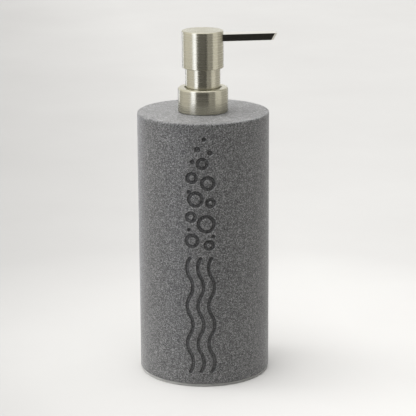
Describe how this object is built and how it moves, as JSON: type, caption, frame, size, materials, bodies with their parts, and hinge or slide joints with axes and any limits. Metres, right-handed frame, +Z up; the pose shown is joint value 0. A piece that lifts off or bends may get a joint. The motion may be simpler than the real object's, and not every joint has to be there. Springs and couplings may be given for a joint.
{
  "type": "soap pump dispenser",
  "caption": "Cylindrical stone-look soap dispenser with an engraved wave and bubble pattern and a brushed metal press pump with a flat side spout.",
  "frame": {"origin": "centre of the foot pad's underside, on the axis of the bottle and the pump", "axes": "+Z up along the bottle's axis, +X along the spout as it leaves the head, the engraved pattern faces -Y"},
  "size_m": [0.0783, 0.074, 0.196],
  "materials": {
    "stone": "matte cast stone resin with fine light and dark speckles",
    "pad": "soft satin foam rubber",
    "white_plastic": "moulded polypropylene",
    "brushed_metal": "warm nickel, brushed round the axis",
    "spout_metal": "satin nickel, brushed along the spout",
    "clear_plastic": "translucent extruded tube",
    "seal": "soft foam washer",
    "spring_steel": "drawn stainless wire",
    "liner_plastic": "moulded grey plastic"
  },
  "bodies": {
    "bottle": {"bottle": "stone", "base_plate": "stone", "foot_pad": "pad", "neck_insert": "white_plastic"},
    "gasket": {"pump_gasket": "seal"},
    "pump": {"pump_housing": "white_plastic", "chaplet": "white_plastic", "neck_sleeve": "brushed_metal", "dip_tube": "clear_plastic"},
    "collar": {"collar_shell": "brushed_metal", "collar_thread_ring": "white_plastic"},
    "ball": {"check_ball": "spring_steel"},
    "spring": {"return_spring": "spring_steel"},
    "plunger": {"stem": "white_plastic", "piston_seat": "white_plastic", "actuator_core": "white_plastic", "head_shell": "brushed_metal", "spout": "spout_metal", "spout_liner": "liner_plastic"},
    "piston": {"piston": "white_plastic"}
  },
  "joints": [
    {"name": "pump_lift", "type": "slide", "parent": "bottle", "child": "gasket", "axis": [0, 0, 1], "range_m": [0, 0.155]},
    {"name": "thread_rise", "type": "slide", "parent": "gasket", "child": "pump", "axis": [0, 0, 1], "range_m": [0, 0.0045]},
    {"name": "collar_turn", "type": "hinge", "parent": "pump", "child": "collar", "pos_m": [0, 0, 0.1567], "axis": [0, 0, 1], "range_deg": [0, 540]},
    {"name": "ball_lift", "type": "slide", "parent": "pump", "child": "ball", "axis": [0, 0, 1], "range_m": [0, 0.002]},
    {"name": "spout_swivel", "type": "hinge", "parent": "pump", "child": "spring", "pos_m": [0, 0, 0.1765], "axis": [0, 0, 1], "continuous": true},
    {"name": "head_press", "type": "slide", "parent": "spring", "child": "plunger", "axis": [0, 0, 1], "range_m": [-0.01, 0], "stiffness_N_per_m": 700, "springref_m": 0.008, "deforming": ["return_spring"]},
    {"name": "piston_slip", "type": "slide", "parent": "plunger", "child": "piston", "axis": [0, 0, 1], "range_m": [0, 0.0012]}
  ],
  "couplings": [
    {"joint": "collar_turn", "follows": "thread_rise", "rad_per_m": 2094.3}
  ]
}
